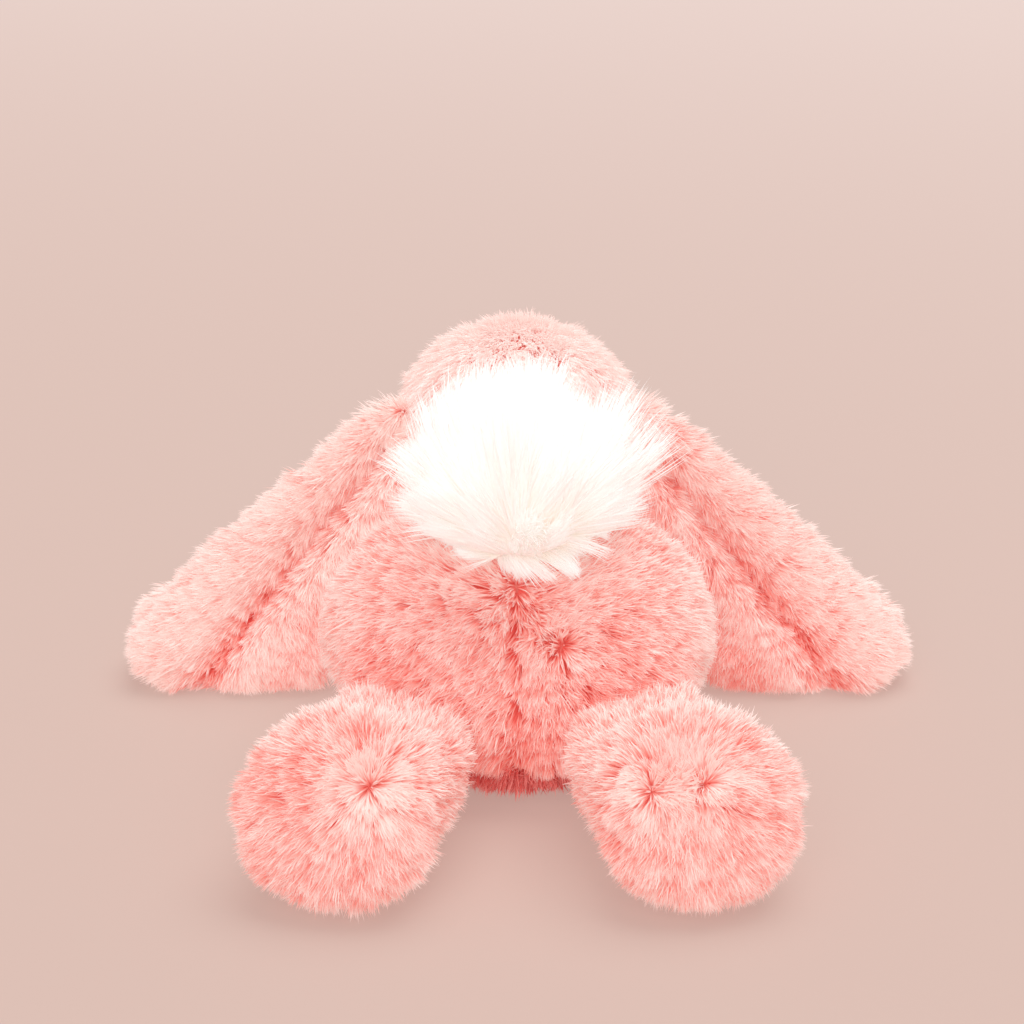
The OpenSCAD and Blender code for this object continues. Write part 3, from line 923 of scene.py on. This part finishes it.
for side, sign in SIDES:
    hip = mirrored(hip_at, sign)
    way = np.array([leg_way[0] * sign, leg_way[1], 0])
    leg_skin = lathe(side + "_leg_skin", leg_rows(), hip, way)
    squashed_foot(leg_skin.data, hip, way)
    seam = Vector(hip) + Vector(way) * (SOLE_AT - 0.010)
    pull_seam(leg_skin.data, lambda co: (co - np.array(seam)) @ way, depth=0.002, width=0.004)
    stuffing(leg_skin, side + "_leg_fibre", side + "_leg", side + "_leg_filling")
    sleeve = cut_out(leg_skin, side + "_leg_sleeve_skin", [(seam, way)])
    sole = cut_out(leg_skin, side + "_foot_sole_skin", [(seam, -way)])
    bpy.data.objects.remove(leg_skin)
    sole_y = hip[1] + way[1] * SOLE_AT
    whorls = [(x, sole_y, z) for x, z in SOLE_WHORLS[side]]
    body = side + "_leg"
    # Painted light: the sleeve's pile is paler where it faces up.
    plant(sleeve, side + "_leg_sleeve_pile", body, "pink_pile", pink_pile,
          fans(whorls, (0, 0, -0.15)), 34000, length=0.012, lean=0.95, lock_sway=0.003,
          cover=lambda co, out: 1.0 * ((co - np.array(hip)) @ way > -BARE_HIP),
          painted_light=lambda co, out: -0.02 + 0.08 * out[:, 2])
    # Painted shade deepens the sole's pile all over; painted light pales it at the whorls.
    plant(sole, side + "_foot_sole_pile", body, "sole_pile", pink_pile,
          fans(whorls, (0, 0, -0.12), flat=way), 32000, length=0.0145, lean=0.9,
          lay=lambda co, out: 1 - 0.7 * near_any(co, whorls, 0.008),
          tall=lambda co, out: 1.05 - 0.2 * near_any(co, whorls, 0.010) - 0.35 * (1 - out @ way),
          painted_light=lambda co, out: -0.11 + 0.30 * near_any(co, whorls, 0.009))
    sewn_panel(sleeve, body, "pink_pile", pink_backing, side + "_leg_sleeve")
    sewn_panel(sole, body, "sole_pile", pink_backing, side + "_foot_sole")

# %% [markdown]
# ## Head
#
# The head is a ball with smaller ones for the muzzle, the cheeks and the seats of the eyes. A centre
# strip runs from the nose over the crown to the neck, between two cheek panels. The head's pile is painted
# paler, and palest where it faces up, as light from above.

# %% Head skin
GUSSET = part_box("head_gusset")[1][0]
eye_spots = [middle("left_eye"), middle("right_eye")]
head_skin = stuffed("head_skin", [
    (head_at, (0.060, 0.062, 0.060)),
    (head_at + Vector((0, 0.0428, -0.0233)), (0.0335, 0.0344, 0.0318)),
    *[(head_at + (spot - head_at) * 0.42, (0.038, 0.038, 0.038)) for spot in eye_spots],
    *[(head_at + Vector((x, 0.030, -0.024)), (0.028, 0.028, 0.026)) for x in (-0.030, 0.030)],
], smooth=16)
pull_seam(head_skin.data, lambda co: np.abs(co[:, 0]) - GUSSET, depth=0.002, width=0.004)
stuffing(head_skin, "head_fibre", "head", "head_filling")
cheek_left = cut_out(head_skin, "head_left_skin", [((-GUSSET, 0, 0), (1, 0, 0))])
cheek_right = cut_out(head_skin, "head_right_skin", [((GUSSET, 0, 0), (-1, 0, 0))])
strip_sides = [((-GUSSET, 0, 0), (-1, 0, 0)), ((GUSSET, 0, 0), (1, 0, 0))]
gusset = cut_out(head_skin, "head_gusset_skin", strip_sides)
bpy.data.objects.remove(head_skin)

crown_whorl = head_at + Vector((0.004, 0.035, 0.055))
nose_whorl = head_at + Vector((0, 0.08, -0.02))
head_comb = fans([crown_whorl, nose_whorl], (0, -0.2, -0.1))
mouth = middle("mouth_stitching")
mouth_corners = [(corner[0], mouth.y, mouth.z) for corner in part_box("mouth_stitching")]
stitched = [middle("nose_stitching"), mouth, *mouth_corners]


def face_tall(co, out):
    """The pile is clipped short on the muzzle, round the eyes and along the stitching."""
    ahead = np.clip((co[:, 1] - head_at[1] - 0.02) / 0.035, 0, 1)
    clipped = (1 - 0.6 * near_any(co, eye_spots, 0.015)) * (1 - 0.9 * near_any(co, stitched, 0.012))
    return (1 - 0.45 * ahead) * clipped


# Painted light: the head's pile is paler all over and palest where it faces up.
for panel, name, node, hairs in (
    (cheek_left, "head_left_pile", "head_left_panel", 30000),
    (cheek_right, "head_right_pile", "head_right_panel", 30000),
    (gusset, "head_gusset_pile", "head_gusset", 24000),
):
    plant(panel, name, "head", "pink_pile", top_lit_pile, head_comb, hairs, tall=face_tall,
          mess=0.15, lock_size=0.004, painted_light=lambda co, out: 0.27 + 0.4 * np.clip(out[:, 2], 0, 1))
    sewn_panel(panel, "head", "pink_pile", pink_backing, node)

# %% [markdown]
# ## Ears
#
# A lop ear is two layers of pile fabric sewn round the edge, without filling. It is folded lengthwise
# where it is sewn to the head, and the fold runs on down the ear as a soft valley.

# %% Ears
EAR_GAP = 0.002
ear_lean = math.radians(25)
ear_floor_y = ear_at[1] - ear_at[2] * math.tan(ear_lean)
ear_out = np.array([0, -math.cos(ear_lean), math.sin(ear_lean)])


def ear_spot(x, z, sign):
    """A point on the ear's middle plane, from its distance to the side and its height."""
    return np.array([-x * sign, ear_floor_y + z * math.tan(ear_lean), z])


EAR_DISCS = ((0.058, 0.120, 0.013), (0.106, 0.068, 0.022), (0.168, 0.0255, 0.0230), (0.114, 0.026, 0.0205))


def along_valley(co, sign):
    """How far each point is from the fold's valley, outwards, and how far down the ear it is."""
    root, tip = ear_spot(0.050, 0.130, sign), ear_spot(0.146, 0.020, sign)
    length = np.linalg.norm(tip - root)
    way = (tip - root) / length
    across = np.cross(way, ear_out)
    across = across * (1 if across[0] * sign < 0 else -1)
    return (co - root) @ across, (co - root) @ way / length, way, across


def ear_fold(co, sign):
    """Height of the fold above the ear's plane: a ridge, a valley, the inner lip and the far edge."""
    off, down, _, _ = along_valley(co, sign)
    strength = np.clip(1.2 - down, 0.15, 1)
    ridge = 0.010 * np.exp(-(((off - 0.018) / 0.013) ** 2))
    valley = -0.014 * np.exp(-((off / 0.0065) ** 2))
    lip = 0.008 * np.exp(-(((off + 0.012) / 0.008) ** 2))
    far_edge = -0.016 * step_up((off - 0.031) / 0.007)
    return (ridge + valley + lip) * strength + far_edge * np.clip(down + 0.4, 0, 1)


for side, sign in SIDES:
    bm = bmesh.new()
    tilt = Matrix.Rotation(-ear_lean, 3, "X")
    for x, z, radius in EAR_DISCS:
        ball(bm, ear_spot(x, z, sign), (radius, 0.007, radius), tilt)
    hull = bmesh.ops.convex_hull(bm, input=bm.verts)
    bmesh.ops.delete(bm, geom=list(set(hull["geom_interior"] + hull["geom_unused"])), context="VERTS")
    ear_skin = welded(side + "_ear_skin", bm, 0.0035, 6)
    flat = points_of(ear_skin.data)
    plane_off = (flat - ear_spot(0.1, 0.05, sign)) @ ear_out
    write_field(ear_skin.data, "face_side", "FLOAT", plane_off)
    bent = flat + np.outer(ear_fold(flat, sign), ear_out)
    bent[:, 2] = np.maximum(bent[:, 2], EAR_GAP)
    put_points(ear_skin.data, bent)

    def layer(name, keep):
        bm = bmesh.new()
        bm.from_mesh(ear_skin.data)
        far = bm.verts.layers.float["face_side"]
        gone = [f for f in bm.faces if (sum(v[far] for v in f.verts) > 0) != keep]
        bmesh.ops.delete(bm, geom=gone, context="FACES")
        mesh = bpy.data.meshes.new(name)
        bm.to_mesh(mesh)
        bm.free()
        return new_piece(name, mesh)

    back = layer(side + "_ear_back_skin", True)
    lining = layer(side + "_ear_lining_skin", False)
    bpy.data.objects.remove(ear_skin)
    root = ear_spot(0.045, 0.135, sign)

    def ear_comb(co, out):
        off, down, way, across = along_valley(co, sign)
        turn = np.tanh(off / 0.007)
        return np.outer(turn, across) + way * 0.9

    def ear_tall(co, out):
        off, _, _, _ = along_valley(co, sign)
        return 1.05 - 0.5 * np.exp(-((off / 0.006) ** 2))

    def ear_painted_light(co, out):
        # Painted light and shade: paler near the root; deeper on the right ear, in the fold's valley,
        # along the crease by the far edge and on the inner band.
        off, down, _, _ = along_valley(co, sign)
        crease_shade = np.exp(-(((off - 0.033) / 0.004) ** 2)) * np.clip(1.1 - down, 0, 1)
        valley = np.exp(-((off / 0.006) ** 2)) * np.clip(5 * down - 0.3, 0, 1)
        inner = np.clip((-off - 0.006) / 0.02, 0, 1)
        root_glow = 0.35 * np.clip(1 - 6 * np.abs(down), 0, 1)
        return root_glow + 0.24 - 0.12 * (sign < 0) - 0.55 * valley - 0.45 * crease_shade - 0.32 * inner

    def lining_comb(co, out):
        return unit(co - root) * 0.6 + np.array((0, 0, -1.0))

    body = side + "_ear"
    plant(back, side + "_ear_back_pile", body, "pink_pile", pink_pile, ear_comb, 50000,
          tall=ear_tall, painted_light=ear_painted_light)
    plant(lining, side + "_ear_lining_pile", body, "ear_lining", pink_pile, lining_comb, 18000,
          length=0.012)
    sewn_panel(back, body, "pink_pile", pink_backing, side + "_ear_back")
    sewn_panel(lining, body, "ear_lining", pink_backing, side + "_ear_lining")

# %% [markdown]
# ## Arms
#
# The arms are plain sleeves with round ends. They lie forward, half under the head.

# %% Arms
arm_angle = math.radians(42)
PAW_R = 0.0215
ARM_LEN = 0.078
ARM_ROOT_R = 0.016
for side, sign in SIDES:
    shoulder = mirrored(shoulder_at, sign)
    way = np.array([-math.sin(arm_angle) * sign, math.cos(arm_angle), 0])
    rows = [(-ARM_ROOT_R * math.cos(turn), ARM_ROOT_R * math.sin(turn)) for turn in quarter_turns(6)]
    rows += [(0.02, 0.0165), (0.038, 0.019)]
    for turn in quarter_turns(8):
        rows.append((ARM_LEN - PAW_R + PAW_R * math.sin(turn), PAW_R * math.cos(turn)))
    arm = lathe(side + "_arm_skin", rows, shoulder, way)
    stuffing(arm, side + "_arm_fibre", side + "_arm", side + "_arm_filling")
    body = side + "_arm"
    plant(arm, side + "_arm_pile", body, "pink_pile", pink_pile,
          lambda co, out: np.tile(way, (len(co), 1)), 16000, length=0.011)
    sewn_panel(arm, body, "pink_pile", pink_backing, side + "_arm_sleeve")

# %% [markdown]
# ## Tail
#
# The tail is a small ball covered in a different fabric, with straight white hair several times as long
# as the body's. It fans out from a whorl low at the rear and lies forward over the ball.

# %% Tail
TAIL_TOP = 0.194
tail_middle = middle("tail_cover")
tail_ball = tail_middle + Vector((0, 0.001, -0.006))
tail_skin = stuffed("tail_skin", [(tail_ball, (0.039, 0.033, 0.027))], smooth=4)
stuffing(tail_skin, "tail_fibre", "tail", "tail_filling")
tail_whorl = tail_middle + Vector((-0.002, -0.026, -0.034))


def tail_tall(co, out):
    """Long on top and at the sides, short underneath."""
    high = (co[:, 2] - tail_middle[2]) / 0.03
    flat_top = 1 - 0.5 * np.clip(out[:, 2] - 0.5, 0, 1)
    tucked = np.clip(1.3 + 1.2 * out[:, 2], 0.5, 1)
    return np.clip(0.80 + 0.45 * high, 0.24, 1.05) * flat_top * tucked


plant(tail_skin, "tail_pile", "tail", "white_pile", white_pile, fans([tail_whorl], (0, 0.40, 0.15)), 27000,
      tall=tail_tall, lay=lambda co, out: 1 + 0.25 * np.clip(out[:, 2], 0, 1),
      hair=long_blade, length=0.046, width=0.0007, lean=1.05, mess=0.22,
      lock_size=0.010, lock_pull=0.9, lock_sway=0.018, lock_uneven=0.8, wave=0.002, ceiling=TAIL_TOP)
sewn_panel(tail_skin, "tail", "white_pile", white_backing, "tail_cover")

# %% [markdown]
# ## Seam threads
#
# Where a leg is sewn to the rump, a ring of thread lies in the pile, close round the gathered root.

# %% Hip threads


def thread_ring(name, start, way, along, radius, body, node, thick=0.001, rounds=64, sides=10):
    way = Vector(way).normalized()
    across, up = across_and_up(way)
    bm = bmesh.new()
    rings = []
    for i in range(rounds):
        turn = 2 * math.pi * i / rounds
        outwards = across * math.cos(turn) + up * math.sin(turn)
        ring = []
        for k in range(sides):
            lift = 2 * math.pi * k / sides
            far = radius + thick * math.cos(lift)
            centre = Vector(start) + way * (along + thick * math.sin(lift))
            ring.append(bm.verts.new(centre + outwards * far))
        rings.append(ring)
    for i in range(rounds):
        near, far = rings[i], rings[(i + 1) % rounds]
        for k in range(sides):
            m = (k + 1) % sides
            bm.faces.new((near[k], far[k], far[m], near[m]))
    bmesh.ops.recalc_face_normals(bm, faces=bm.faces)
    mesh = bpy.data.meshes.new(name)
    bm.to_mesh(mesh)
    bm.free()
    squashed_foot(mesh, start, way)
    ring = new_piece(name, mesh)
    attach(ring, body)
    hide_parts(node)
    return ring


hip_threads = []
for side, sign in SIDES:
    way = (leg_way[0] * sign, leg_way[1], 0)
    hip_threads.append(thread_ring(side + "_hip_thread", mirrored(hip_at, sign), way, 0.002, 0.0245,
                                   side + "_leg", side + "_leg_seam_thread"))

# %% [markdown]
# ## Small parts
#
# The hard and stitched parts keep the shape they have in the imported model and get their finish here.

# %% Eyes, nose, mouth and threads


def satin_stitch(name, colour):
    """Rows of shiny thread laid side by side."""
    material = plain_material(name, colour, 0.35)
    nodes, links = material.node_tree.nodes, material.node_tree.links
    shader = nodes["Principled BSDF"]
    where = nodes.new("ShaderNodeTexCoord")
    rows = nodes.new("ShaderNodeTexWave")
    rows.inputs["Scale"].default_value = 420
    rows.inputs["Distortion"].default_value = 0.6
    links.new(where.outputs["Object"], rows.inputs["Vector"])
    bump = nodes.new("ShaderNodeBump")
    bump.inputs["Strength"].default_value = 0.6
    bump.inputs["Distance"].default_value = 0.0003
    links.new(rows.outputs["Fac"], bump.inputs["Height"])
    links.new(bump.outputs["Normal"], shader.inputs["Normal"])
    return material


eye_plastic = plain_material("eye_plastic", (0.012, 0.009, 0.008), 0.12)
eye_plastic.node_tree.nodes["Principled BSDF"].inputs["Coat Weight"].default_value = 1.0
washer_plastic = plain_material("washer_plastic", (0.75, 0.75, 0.73), 0.45)
thread = satin_stitch("sewing_thread", (0.78, 0.24, 0.20))
nose_thread = satin_stitch("embroidery", (0.42, 0.12, 0.11))
pellet_cloth = backing_material("pellet_cloth", (0.78, 0.74, 0.66))
FINISHES = {
    "eye_washer": washer_plastic, "eye": eye_plastic, "seam_thread": thread,
    "nose_stitching": nose_thread, "mouth_stitching": nose_thread, "pellet_bag": pellet_cloth,
}
for ring in hip_threads:
    ring.data.materials.append(thread)
for node, piece in frame["nodes"].items():
    finish = next((FINISHES[key] for key in FINISHES if node.endswith(key)), None)
    if finish:
        piece.data.materials.clear()
        piece.data.materials.append(finish)

# %% [markdown]
# ## Finish
#
# The helper blades are done with.

# %% Finish
for helper in (short_blade, long_blade):
    bpy.data.objects.remove(helper)
